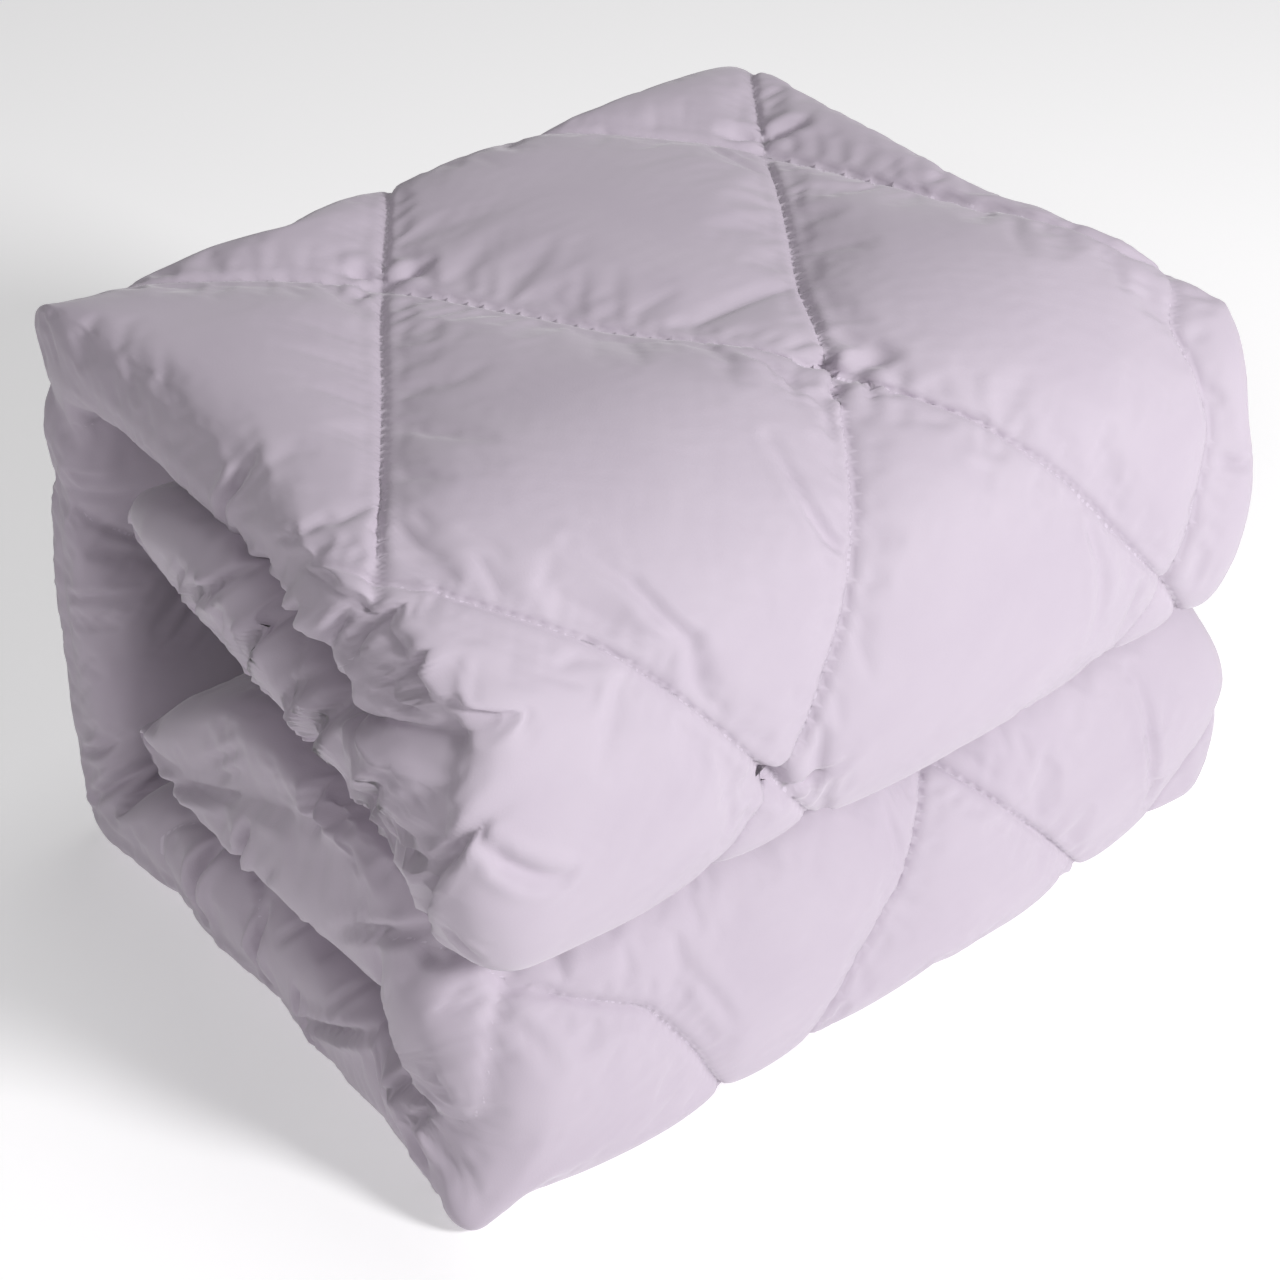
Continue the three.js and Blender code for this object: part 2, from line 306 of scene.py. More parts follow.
def snap_to_seams(x, length, first, final):
    """Moves columns onto the seams. Every second column is one of the coarser grid: in each row the
    nearest of them takes the seam's own x, its two neighbours follow by a part, and the columns
    between are set halfway again."""
    kept = x[:, 0::2].copy()
    rows = np.arange(len(x))
    low, high = (first + 1) // 2 + 1, final // 2 - 1
    for points in RISING_SEAMS + FALLING_SEAMS:
        line, inside = seam_line(points)
        line = np.interp(length[:, 0], length_table, np.where(inside, line, FAR))
        gap = line[:, None] - kept[:, low:high]
        nearest = np.abs(gap).argmin(axis=1)
        shift = gap[rows, nearest]
        step = kept[rows, low + nearest + 1] - kept[rows, low + nearest]
        shift = np.where(np.abs(shift) < SNAP_FROM * step, shift, 0)
        kept[rows, low + nearest] += shift
        kept[rows, low + nearest - 1] += SNAP_FOLLOW * shift
        kept[rows, low + nearest + 1] += SNAP_FOLLOW * shift
    between = (kept[:, :-1] + kept[:, 1:]) / 2
    x = x.copy()
    x[:, 2 * low:2 * high:2] = kept[:, low:high]
    x[:, 2 * low + 1:2 * high:2] = between[:, low:high]
    x[:, 2 * low - 1] = between[:, low - 1]
    return x


def face_columns(side, length, count_middle, count_end):
    """x and height share of every column of one face, from the left seam to the right one. On an
    end the height share is a superellipse of the angle, and a sine adds the bulge."""
    angle = np.linspace(math.pi / 2, 0, count_end + 1)[None, :]
    edges = {}
    for sign, end in ((-1, LEFT_END), (1, RIGHT_END)):
        reach = HALF_LENGTH + read(END_REACH, 1 if sign < 0 else 2, length)
        near, _, _ = family_field(RISING_SEAMS, sign * reach + SHIFT_X, length)
        other, _, _ = family_field(FALLING_SEAMS, sign * reach + SHIFT_X, length)
        reach = reach - DRAW_IN[0] * np.exp(-np.minimum(near, other) / DRAW_IN[1])
        seam = read(end, 1, length)
        depth = read(end, 2 if side > 0 else 3, length)
        bulge = read(end, 4 if side > 0 else 5, length)
        x = reach - depth * (1 - np.sin(angle)) + bulge * np.sin(2 * angle)
        share = (1 - np.sin(angle) ** END_POWER) ** (1 / END_POWER)
        share = side * seam + (1 - side * seam) * share
        edges[sign] = (sign * x + SHIFT_X, share)
    left_x, left_share = edges[-1]
    right_x, right_share = edges[1]
    step = (np.arange(1, count_middle) / count_middle)[None, :]
    middle_x = left_x[:, -1:] * (1 - step) + right_x[:, -1:] * step
    x = np.hstack([left_x, middle_x, right_x[:, ::-1]])
    share = np.hstack([left_share, np.ones_like(middle_x), right_share[:, ::-1]])
    return snap_to_seams(x, length, count_end, count_end + count_middle), share


def lay_cloth(place, hem, count_middle, count_end):
    """Points of the filled cloth: centre of the ply plus, along its thickness, half the thickness
    less the pull of the seams, times the height share of the column. hem runs from -1 to 1: it is
    nought on the cloth, and at the two free edges it turns the edge over in a quarter circle. The
    results are the points, their skin length, and 1 on the skin or -1 on the lining."""
    length = np.interp(place, section_place, skin_length)[:, None]
    skin, lining = spline(SECTION[:, :2], place), spline(SECTION[:, 2:], place)
    centre, half = (skin + lining) / 2, np.hypot(*(skin - lining).T)[:, None] / 2
    outward = (skin - lining) / (2 * half)
    turn = np.abs(hem)[:, None] * math.pi / 2
    faces = []
    for side in (1, -1):
        x, share = face_columns(side, length, count_middle, count_end)
        rising, _, _ = family_field(RISING_SEAMS, x, length)
        falling, _, _ = family_field(FALLING_SEAMS, x, length)
        depth = (1 if side > 0 else LINING_SHARE) * seam_pull(rising, falling)
        pull = np.minimum(depth + (SKIN_INSET if side > 0 else 0), half * DEEPEST_PULL)
        lift = side * (half - pull) * share * np.cos(turn)
        y = centre[:, :1] + outward[:, :1] * lift + HEM_ROUND * np.sin(turn) - DEPTH / 2 + SHIFT_Y
        z = centre[:, 1:] + outward[:, 1:] * lift
        plain_x = x
        for at_x, at_length, reach_x, reach_length, push_x, push_y, push_z in LEANS:
            near = np.exp(-((plain_x - at_x) / reach_x) ** 2
                          - ((length - at_length) / reach_length) ** 2)
            x, y, z = x + push_x * near, y + push_y * near, z + push_z * near
        lengths = np.broadcast_to(length, x.shape)
        faces.append(np.stack([x, y, z, lengths, np.full(x.shape, float(side))], -1))
    front, back = faces
    ring = np.concatenate([front, back[:, -2:0:-1]], axis=1)
    return ring[..., :3], ring[..., 3], ring[..., 4]


def normals_of(points):
    """Outward unit normals of the grid: the cross product of the steps along and round the ply."""
    along = np.gradient(points, axis=0)
    around = np.roll(points, -1, axis=1) - np.roll(points, 1, axis=1)
    normal = np.cross(along, around)
    size = np.linalg.norm(normal, axis=-1, keepdims=True)
    return normal / np.maximum(size, 1e-9)


SPACING = 6.0
COLUMNS_MIDDLE = 92
COLUMNS_END = 9

lengths_wanted = np.linspace(skin_length[0], skin_length[-1], round(skin_length[-1] / SPACING) + 1)
coarse_place = np.interp(lengths_wanted, skin_length, section_place)
fine_place = np.interp(np.linspace(0, 1, 2 * len(coarse_place) - 1),
                       np.linspace(0, 1, len(coarse_place)), coarse_place)
# The rows that turn the free edge over, as shares of a quarter turn
hem_turn = np.array([0.92, 0.78, 0.62, 0.46, 0.3, 0.15])
fine_place = np.concatenate([0 * hem_turn, fine_place, last + 0 * hem_turn])
fine_hem = np.concatenate([-hem_turn, np.zeros(2 * len(coarse_place) - 1), hem_turn[::-1]])
points, length, side = lay_cloth(fine_place, fine_hem, 2 * COLUMNS_MIDDLE, 2 * COLUMNS_END)
print("grid of", points.shape[0], "by", points.shape[1], "points")

# %% [markdown]
# A cover is cut larger than its filling, and the stitches gather it. So the cloth is simulated: a
# coarser grid, every second point, grows a little and is blown up a little, while its seams are
# held. It crowns and buckles as real filled cloth does. Faces that lie on each other are held by
# soft springs, and no point may move further than a cap.

# %% Cloth simulation
SIM_FRAMES = 20
# Growth of the cloth, as a share of its size
SIM_GROWTH = 0.015
SIM_PRESSURE = 2.0
# No point moves further than this, in mm
SIM_CAP = 9.0
GROUP_STEPS = 50


def grid_faces(rows, ring):
    """Corner numbers of all quads of a grid that is closed round the ring and open along, and of
    the two strips that join skin and lining at the free edges. Each strip ends in a triangle at
    both side seams."""
    row = np.arange(rows - 1)[:, None]
    column = np.arange(ring)[None, :]
    following = (column + 1) % ring
    quads = np.stack([row * ring + column, (row + 1) * ring + column,
                      (row + 1) * ring + following, row * ring + following], -1)
    half = ring // 2
    k = np.arange(1, half - 1)
    first = np.stack([k, k + 1, ring - k - 1, ring - k], -1)
    final = first[:, ::-1] + (rows - 1) * ring
    corners = np.array([(0, 1, ring - 1), (half - 1, half, half + 1)])
    triangles = np.vstack([corners, corners[:, ::-1] + (rows - 1) * ring])
    return np.vstack([quads.reshape(-1, 4), first, final]), triangles


def make_mesh(name, points, quads, triangles):
    """A Blender mesh from points in millimetres and corner numbers."""
    corners = np.concatenate([quads.ravel(), triangles.ravel()])
    starts = np.concatenate([np.arange(len(quads)) * 4,
                             quads.size + np.arange(len(triangles)) * 3])
    mesh = bpy.data.meshes.new(name)
    mesh.vertices.add(len(points))
    mesh.vertices.foreach_set("co", (points * MM).astype(np.float32).ravel())
    mesh.loops.add(len(corners))
    mesh.loops.foreach_set("vertex_index", corners.astype(np.int32))
    mesh.polygons.add(len(starts))
    mesh.polygons.foreach_set("loop_start", starts.astype(np.int32))
    mesh.polygons.foreach_set("use_smooth", np.ones(len(starts), bool))
    mesh.update(calc_edges=True)
    return mesh


def fill_group(body, name, weights):
    """A vertex group with one weight a point, in steps of a fiftieth."""
    group = body.vertex_groups.new(name=name)
    levels = np.round(weights.ravel() * GROUP_STEPS).astype(int)
    for level in np.unique(levels):
        group.add(np.flatnonzero(levels == level).tolist(), level / GROUP_STEPS, "REPLACE")


CLOTH_SETTINGS = {
    "quality": 4,
    "mass": 0.3,
    "tension_stiffness": 12,
    "compression_stiffness": 12,
    "shear_stiffness": 4,
    "bending_stiffness": 0.4,
    "tension_damping": 8,
    "compression_damping": 8,
    "shear_damping": 8,
    "bending_damping": 1,
    "air_damping": 4,
    "use_pressure": True,
    "uniform_pressure_force": SIM_PRESSURE,
    "shrink_min": -SIM_GROWTH,
    "vertex_group_mass": "hold",
    "pin_stiffness": 2,
}


def simulate(points, hold):
    """How far every point of a coarse grid moves when the cloth grows and is blown up. hold is the
    strength of each point's spring to its place: 1 is sewn fast."""
    rows, ring = points.shape[:2]
    mesh = make_mesh("cloth_test", points.reshape(-1, 3), *grid_faces(rows, ring))
    body = bpy.data.objects.new("cloth_test", mesh)
    bpy.context.scene.collection.objects.link(body)
    fill_group(body, "hold", hold)
    cloth = body.modifiers.new("cloth", "CLOTH")
    settings = cloth.settings
    for setting, value in CLOTH_SETTINGS.items():
        setattr(settings, setting, value)
    settings.effector_weights.gravity = 0
    cloth.collision_settings.use_collision = False
    cloth.collision_settings.use_self_collision = False
    cloth.point_cache.frame_start = 1
    cloth.point_cache.frame_end = SIM_FRAMES
    scene = bpy.context.scene
    for number in range(1, SIM_FRAMES + 1):
        scene.frame_set(number)
    evaluated = body.evaluated_get(bpy.context.evaluated_depsgraph_get())
    moved = np.empty(3 * len(mesh.vertices), np.float32)
    evaluated.data.vertices.foreach_get("co", moved)
    scene.frame_set(1)
    bpy.data.objects.remove(body)
    bpy.data.meshes.remove(mesh)
    return moved.reshape(points.shape) / MM - points


def halve_steps(field, axis, closed):
    """The field with a new value between every two along one axis: nine sixteenths of each near
    neighbour less one sixteenth of each far one."""
    field = np.moveaxis(field, axis, 0)
    if closed:
        padded = np.concatenate([field[-1:], field, field[:2]])
    else:
        padded = np.concatenate([field[:1], field, field[-1:]])
    a, b, c, d = padded[:-3], padded[1:-2], padded[2:-1], padded[3:]
    between = (9 * (b + c) - a - d) / 16
    count = len(field) + len(between)
    result = np.empty((count,) + field.shape[1:])
    result[0::2] = field
    result[1::2] = between
    return np.moveaxis(result, 0, axis)


coarse = points[::2, ::2]
coarse_x, coarse_length = coarse[..., 0], length[::2, ::2]
coarse_side = side[::2, ::2]
to_rising, _, _ = family_field(RISING_SEAMS, coarse_x, coarse_length)
to_falling, _, _ = family_field(FALLING_SEAMS, coarse_x, coarse_length)
# The stitches, both side seams and the free edges are sewn fast
hold = np.where(np.minimum(to_rising, to_falling) < 0.8, 1.0, 0.0)
seam_columns = [0, coarse.shape[1] // 2]
hold[:, seam_columns] = 1.0
hold[[0, -1], :] = 1.0
# Faces that lie on each other are held by soft springs, and open ones hardly at all
hidden_skin = (coarse_side > 0) & ((coarse_length < 340) | (coarse_length > 2030))
hidden_lining = (coarse_side < 0) & ((coarse_length < 960) | (coarse_length > 1430))
inside = np.abs(coarse_x) < HALF_LENGTH - 34
hold = np.maximum(hold, np.where((hidden_skin | hidden_lining) & inside, 0.5, 0.05))
moved = simulate(coarse, hold)
reach_moved = np.linalg.norm(moved, axis=-1, keepdims=True)
print("cloth moved, mm: middle", round(float(np.median(reach_moved)), 2),
      "most", round(float(reach_moved.max()), 2))
moved = moved * SIM_CAP * np.tanh(reach_moved / SIM_CAP) / np.maximum(reach_moved, 1e-6)
points = points + halve_steps(halve_steps(moved, 0, False), 1, True)

# %% [markdown]
# Gathered cloth puckers: short folds run straight out from the stitches and fade in a couple of
# centimetres. They could be drawn one by one, but there are hundreds, so they are smooth noise,
# stretched across the seam and quick along it. The side seams gather the cloth much more, most of
# all where the two turned-in layers come out at the left end.

# %% Puckers
rng = np.random.default_rng(11)
NOISE_SIZE = 256
noise_table = rng.uniform(-1, 1, (NOISE_SIZE, NOISE_SIZE))
# Skin length, height of the gathers at the left side seam
GATHERS = np.array([
    (19, 2.0), (205, 3.0), (300, 1.2), (372, 0.6), (480, 1.2), (560, 2.6), (900, 2.2), (1178, 1.6),
    (1318, 1.0), (1472, 0.4), (1606, 0.4), (1690, 1.6), (1740, 3.6), (1830, 3.8), (1865, 2.8),
    (1900, 1.4), (1968, 1.2), (2035, 3.0), (2129, 4.2), (2308, 4.2), (2354, 2.0),
], float)
# The same at the whole of the right side seam
GATHERS_RIGHT = 1.6
# Wave length, reach and height of the puckers beside the sewn lines
PUCKERS = [(9.0, 12.0, 0.8), (17.0, 26.0, 1.1)]
# Wave length, reach and share of height of the gathers
GATHER_WAVES = [(21.0, 46.0, 0.2), (9.0, 24.0, 0.15)]
# Height and size of the slow unevenness of the filling
SWELL = 1.4
SWELL_SIZE = (70, 85)
# Nothing is raised at the side seam itself, and all of it some millimetres away
SEAM_EDGE = 7


def noise(u, v):
    """Smooth noise of two coordinates: random heights at whole numbers, blended with a quintic."""
    u0, v0 = np.floor(u).astype(int), np.floor(v).astype(int)
    fu, fv = u - u0, v - v0
    fu, fv = (f**3 * (f * (f * 6 - 15) + 10) for f in (fu, fv))
    u1, v1 = (u0 + 1) % NOISE_SIZE, (v0 + 1) % NOISE_SIZE
    u0, v0 = u0 % NOISE_SIZE, v0 % NOISE_SIZE
    low = noise_table[u0, v0] * (1 - fu) + noise_table[u1, v0] * fu
    high = noise_table[u0, v1] * (1 - fu) + noise_table[u1, v1] * fu
    return low * (1 - fv) + high * fv


def pucker(distance, along, number, wave, reach):
    """Height of the puckers beside one family of seams: noise that is quick along the seam and
    slow away from it, nought on the stitches, largest a few millimetres off and fading out."""
    fine = noise(along / wave + 17.3 * number, distance / (2.2 * wave) + 5.1 * number)
    slow = 0.5 + 0.5 * noise(along / 70 + 31.7 * number, 9.5 + 0 * along)
    return fine * slow * (1 - np.exp(-distance / 3)) * np.exp(-distance / reach)


def gather(distance, along, wave, reach):
    """Height of the gathers at a side seam. The noise is folded at nought, |n| to the power 3/4,
    which makes round crests between sharp valleys."""
    fine = np.abs(noise(along / wave, distance / 80 + wave)) ** 0.75 - 0.35
    return 2 * fine * (1 - np.exp(-distance / 9)) * np.exp(-distance / reach)


def across_ply(points):
    """Distance round the ply from the left side seam: positive on the skin, negative on the
    lining. It is added up from column to column. The second result is the distance from the
    right side seam."""
    step = np.linalg.norm(np.diff(np.concatenate([points, points[:, :1]], axis=1), axis=1), axis=2)
    half = points.shape[1] // 2
    skin = np.cumsum(step[:, :half], axis=1)
    lining = np.cumsum(step[:, half:][:, ::-1], axis=1)
    across = np.hstack([0 * skin[:, :1], skin, -lining[:, :-1][:, ::-1]])
    return across, np.where(across >= 0, skin[:, -1:] - across, lining[:, -1:] + across)


across, from_right = across_ply(points)
rising = family_field(RISING_SEAMS, points[..., 0], length)
falling = family_field(FALLING_SEAMS, points[..., 0], length)
height = SWELL * noise(points[..., 0] / SWELL_SIZE[0], length / SWELL_SIZE[1] + 40 * (side < 0))
for wave, reach, size in PUCKERS:
    for distance, along, number in (rising, falling):
        height += size * pucker(distance, along, number, wave, reach)
left_gathers = read(GATHERS, 1, length)
for wave, reach, part in GATHER_WAVES:
    height += part * left_gathers * gather(np.abs(across), length, wave, reach)
    height += part * GATHERS_RIGHT * gather(from_right, length + 500, wave, reach)
height *= 1 - np.exp(-(across / SEAM_EDGE) ** 2) - np.exp(-(from_right / SEAM_EDGE) ** 2)
print("puckers from", round(float(height.min()), 1), "to", round(float(height.max()), 1), "mm")

# %% [markdown]
# Some creases can be told apart one by one in the photograph: the tucks at the corner tufts, the
# slots between the layers, and the long soft creases on the front. Each is a line of points, with
# a depth and a width. The cloth is pressed in along the line and swells a little on both sides.
# Creases of the skin are given on the cloth itself. Those of the left end run over several layers,
# so they are given as seen from that end, and press the cloth in along X.

# %% Creases
# Depth, half width, and the points of the line: distance round the ply, skin length
CREASES = [
    (5.4, 4, [(25, 1883), (39, 1901), (65, 1916), (88, 1925)]),
    (4.8, 3, [(69, 1978), (83, 1987)]),
    (3.6, 3, [(58, 328), (66, 346)]),
    (4.8, 3, [(26, 456), (21, 423), (21, 411)]),
    (7.2, 4, [(28, 1600), (10, 1600), (-12, 1594)]),
    (3.6, 3.5, [(-106, 2231), (-103, 2208), (-105, 2193)]),
    (2.9, 4, [(299, 1680), (304, 1713), (289, 1767)]),
    (2.9, 4, [(248, 1746), (248, 1796), (260, 1847)]),
    (2.4, 4, [(110, 1755), (132, 1788), (141, 1826), (178, 1877)]),
    (2.6, 4, [(69, 376), (82, 405), (91, 438)]),
    (2.6, 4, [(449, 1865), (464, 1901), (500, 1948)]),
    (2.9, 4, [(556, 390), (561, 438), (578, 528)]),
    (3.0, 3, [(574, 1880), (601, 1889)]),
    (1.7, 4, [(190, 420), (216, 480)]),
    (4.8, 5, [(342, 1728), (341, 1713), (327, 1707)]),
    (4.8, 5, [(337, 1731), (356, 1725), (373, 1722)]),
    (3.6, 4, [(336, 1728), (296, 1740)]),
    (3.6, 4, [(339, 1734), (329, 1752)]),
    (4.8, 5, [(201, 1475), (199, 1463), (187, 1457)]),
    (4.8, 5, [(204, 1478), (218, 1481), (230, 1484)]),
    (3.6, 4, [(194, 1475), (170, 1490)]),
    (4.8, 5, [(504, 1481), (494, 1472), (482, 1463)]),
    (4.8, 5, [(504, 1481), (515, 1484), (526, 1490)]),
    (4.8, 5, [(291, 1963), (254, 1945), (219, 1928)]),
    (4.8, 5, [(291, 1963), (299, 1957), (309, 1951)]),
]
# Depth, half width, and the points of the line on the left end: distance from the front, height
END_CREASES = [
    (8.8, 3.825, [(281, 275), (255, 305), (234, 327)]),
    (7.5, 3.4, [(243, 312), (214, 338), (198, 353)]),
    (5.0, 2.975, [(301, 270), (290, 285), (258, 317), (247, 329)]),
    (3.8, 2.55, [(285, 281), (271, 299)]),
    (3.8, 2.55, [(250, 273), (239, 288)]),
    (3.8, 3.4, [(226, 288), (217, 311), (211, 327)]),
    (6.2, 3.4, [(223, 257), (210, 292), (198, 319)]),
    (10.0, 3.825, [(207, 279), (192, 309), (172, 344)]),
    (6.2, 2.975, [(174, 323), (164, 339), (154, 354)]),
    (3.8, 2.55, [(131, 344), (121, 367)]),
    (5.0, 2.55, [(109, 358), (97, 379), (87, 394)]),
    (5.0, 2.975, [(109, 348), (111, 363)]),
    (11.2, 5.1, [(113, 331), (135, 294), (151, 265), (161, 249)]),
    (7.5, 3.4, [(159, 253), (164, 234), (161, 219), (154, 213)]),
    (5.0, 2.975, [(156, 224), (136, 218)]),
    (5.0, 2.975, [(143, 298), (156, 273), (162, 250)]),
    (2.5, 3.4, [(136, 329), (153, 307), (162, 290)]),
    (6.2, 2.975, [(88, 351), (86, 340), (76, 335), (67, 334)]),
    (4.4, 2.55, [(82, 343), (69, 369)]),
    (5.0, 2.55, [(71, 352), (66, 338)]),
    (5.0, 2.975, [(65, 388), (61, 361), (50, 350)]),
    (10.0, 3.4, [(52, 346), (36, 339), (20, 341), (3, 349), (-6, 360), (-12, 371)]),
    (3.8, 2.55, [(21, 351), (14, 344)]),
    (10.0, 4.25, [(66, 306), (87, 280), (99, 258), (99, 242), (90, 240)]),
    (6.2, 2.975, [(82, 251), (86, 260), (74, 274)]),
    (5.0, 2.55, [(82, 251), (67, 266), (53, 278)]),
    (6.2, 2.975, [(81, 249), (59, 263), (31, 274)]),
    (6.2, 3.4, [(83, 248), (82, 229), (74, 206), (64, 191)]),
    (5.0, 2.975, [(92, 239), (104, 225), (101, 218)]),
    (3.1, 3.4, [(76, 283), (46, 314)]),
    (3.1, 3.4, [(71, 280), (36, 312)]),
    (6.2, 3.4, [(19, 332), (13, 321), (13, 305), (27, 276), (44, 235), (56, 200)]),
    (5.0, 2.55, [(49, 213), (40, 199)]),
    (5.0, 2.975, [(351, 111), (272, 153), (177, 201), (132, 220)]),
    (2.5, 2.975, [(287, 161), (255, 190), (224, 219)]),
    (2.5, 2.975, [(273, 163), (231, 197)]),
    (7.5, 3.4, [(221, 165), (230, 143), (237, 126)]),
    (3.8, 2.55, [(280, 112), (251, 123), (232, 130)]),
    (3.8, 2.55, [(235, 110), (221, 130)]),
    (2.5, 2.55, [(206, 139), (186, 162)]),
    (3.8, 3.4, [(139, 145), (122, 161), (67, 190)]),
    (10.0, 4.25, [(281, 115), (294, 83), (301, 57), (301, 36)]),
    (7.5, 3.4, [(230, 85), (236, 59), (237, 32)]),
    (6.2, 2.975, [(188, 61), (189, 40)]),
    (8.8, 3.4, [(191, 36), (155, 60), (117, 83)]),
    (5.0, 2.975, [(190, 34), (182, 14)]),
    (3.8, 2.55, [(137, 102), (149, 81)]),
    (3.1, 2.55, [(210, 84), (187, 112)]),
    (3.1, 2.55, [(184, 108), (165, 130)]),
    (5.0, 2.975, [(91, 61), (78, 84)]),
    (6.2, 2.975, [(56, 79), (73, 75), (84, 73)]),
    (5.0, 2.55, [(55, 80), (71, 53)]),
    (5.0, 2.975, [(73, 40), (69, 13), (62, -7)]),
    (3.8, 2.55, [(67, 54), (55, 32)]),
    (3.8, 2.55, [(62, 3), (48, -4)]),
    (5.0, 3.4, [(420, 207), (406, 210), (390, 199), (368, 193)]),
    (3.8, 3.4, [(418, 283), (402, 276), (383, 273)]),
    (3.8, 3.4, [(406, 262), (375, 268), (354, 275)]),
    (3.8, 2.975, [(434, 79), (413, 93), (400, 108)]),
    (6.2, 3.4, [(433, 40), (400, 76), (353, 113)]),
    (-5.0, 2.55, [(63, 423), (71, 405), (83, 385)]),
    (5.0, 2.975, [(75, 403), (69, 389), (65, 384)]),
    (3.8, 2.55, [(78, 400), (90, 381), (101, 363)]),
    (3.8, 2.55, [(71, 403), (59, 402)]),
]
# x where the creases of the left end begin, and where they are in full
END_FADE = (-232.0, -262.0)
# The depths of the table times this: the end is seen from the side, so its folds need more
END_DEPTH = 1.3


def crease(points, depth, width, u, v):
    """Height of one crease: a valley exp(-d^2 / w^2) with a low swell on both sides, faded out
    towards both ends of the line. d is the distance from the nearest stretch of the line."""
    points = np.array(points, float)
    steps = np.diff(points, axis=0)
    lengths = np.hypot(*steps.T)
    starts = np.concatenate([[0], np.cumsum(lengths)])
    nearest, place = np.full(u.shape, FAR), np.zeros(u.shape)
    for (x0, y0), (dx, dy), size, start in zip(points, steps, lengths, starts):
        t = np.clip(((u - x0) * dx + (v - y0) * dy) / size**2, 0, 1)
        distance = np.hypot(u - x0 - t * dx, v - y0 - t * dy)
        place = np.where(distance < nearest, start + t * size, place)
        nearest = np.minimum(nearest, distance)
    fade = np.clip(np.sin(math.pi * np.clip(place / starts[-1], 0.06, 0.94)), 0, 1) ** 0.6
    valley = np.exp(-(nearest / width) ** 2)
    swell = 0.4 * np.exp(-((nearest - 2.1 * width) / (1.1 * width)) ** 2)
    return depth * fade * (swell - valley)


def press(creases, u, v):
    """Sum of all creases of a list. Each is worked out only near its own line."""
    height = np.zeros(u.shape)
    for depth, width, line in creases:
        low_corner, high_corner = np.min(line, axis=0), np.max(line, axis=0)
        margin = 5 * width
        close = ((u > low_corner[0] - margin) & (u < high_corner[0] + margin)
                 & (v > low_corner[1] - margin) & (v < high_corner[1] + margin))
        height[close] += crease(line, depth, width, u[close], v[close])
    return height


height += press(CREASES, across, length)
points = points + normals_of(points) * height[..., None]
end_share = np.clip((END_FADE[0] - points[..., 0]) / (END_FADE[0] - END_FADE[1]), 0, 1)
end_press = press(END_CREASES, points[..., 1] + DEPTH / 2 - SHIFT_Y, points[..., 2])
points[..., 0] -= END_DEPTH * end_share * end_press
points[..., 2] = np.maximum(points[..., 2], 0)
print("creases:", len(CREASES), "on the cloth and", len(END_CREASES), "on the left end")

# %% [markdown]
# The grid becomes one closed mesh. Quads join neighbouring rings, and a last strip joins skin and
# lining at the two free edges. A subdivision could smooth a coarser mesh, but it would round off
# the creases that were just pressed in, so the grid itself is fine: about 3 mm from point to point.

# %% Mesh
rows, ring = points.shape[:2]
quilt_mesh = make_mesh("folded_quilt", points.reshape(-1, 3), *grid_faces(rows, ring))
quilt = bpy.data.objects.new("folded_quilt", quilt_mesh)
bpy.context.scene.collection.objects.link(quilt)
print("quilt mesh:", len(quilt_mesh.vertices), "points,", len(quilt_mesh.polygons), "faces")

# %% [markdown]
# A material can follow the cloth only if it knows where on the cloth it is. The mesh is folded, so
# a pattern in space would cut through its layers. Two fields of numbers, one value a point, are
# stored on the mesh: the place on the cloth, and the place beside the nearest sewn line.

# %% Places on the cloth
# Stitches don't show this near a side seam, where the cloth is gathered over them
STITCHES_END = 24


def point_field(mesh, name, *columns):
    """Stores up to three numbers a point on the mesh, for the material to read."""
    values = [np.ravel(column) for column in columns]
    values += [np.zeros(len(mesh.vertices))] * (3 - len(values))
    field = mesh.attributes.new(name, "FLOAT_VECTOR", "POINT")
    field.data.foreach_set("vector", np.stack(values, -1).astype(np.float32).ravel())


nearer = rising[0] < falling[0]
off_end = FAR * ((np.abs(across) < STITCHES_END) | (from_right < STITCHES_END))
point_field(quilt_mesh, "cloth_place", across * MM, length * MM)
point_field(quilt_mesh, "seam_place", (np.where(nearer, rising[0], falling[0]) + off_end) * MM,
            np.where(nearer, rising[1], falling[1]) * MM)
print("fields on the mesh:", [field.name for field in quilt_mesh.attributes])

# %% [markdown]
# The cover is brushed microfibre: a plain weave of very fine polyester threads whose surface was
# brushed into a short fuzz. That gives the eye a matt cloth with no gloss at all, a faint pale
# bloom where it turns away, and soft edges to every shadow. So it is rough, with a weak specular and
# a little sheen. The weave is under a tenth of a millimetre wide on the real cloth, too fine to
# show, so it is drawn at 0.7 mm, and shallow. The fuzz is fine noise and the faint mottling is slow
# noise between two close shades, because filling and light never lie evenly under thin cloth.
# The thread of the seams is a dashed line, a stitch every 4.5 mm, a little paler than the cloth.

# %% Brushed microfibre
WEAVE_PITCH = 0.7 * MM
FUZZ_SIZE = 1.1 * MM
MOTTLE_SIZE = 60 * MM
STITCH_PITCH = 4.5 * MM
STITCH_WIDTH = 0.7 * MM
# A stitch is drawn where the sine of its place is over this: five parts thread, three parts gap
STITCH_GAP = -0.4


def linear(hex_colour):
    """sRGB hex value to linear red, green, blue and alpha."""
    channels = [int(hex_colour[i:i + 2], 16) / 255 for i in (1, 3, 5)]
    return [c / 12.92 if c <= 0.04045 else ((c + 0.055) / 1.055) ** 2.4 for c in channels] + [1.0]


def add(tree, kind, settings=None, **links):
    """Adds one node, sets its named inputs and properties, and links what is given as a socket."""
    node = tree.nodes.new(kind)
    for key, value in (settings or {}).items():
        if key in node.inputs:
            node.inputs[key].default_value = value
        else:
            setattr(node, key, value)
    for key, socket in links.items():
        tree.links.new(socket, node.inputs[key.replace("_", " ")])
    return node


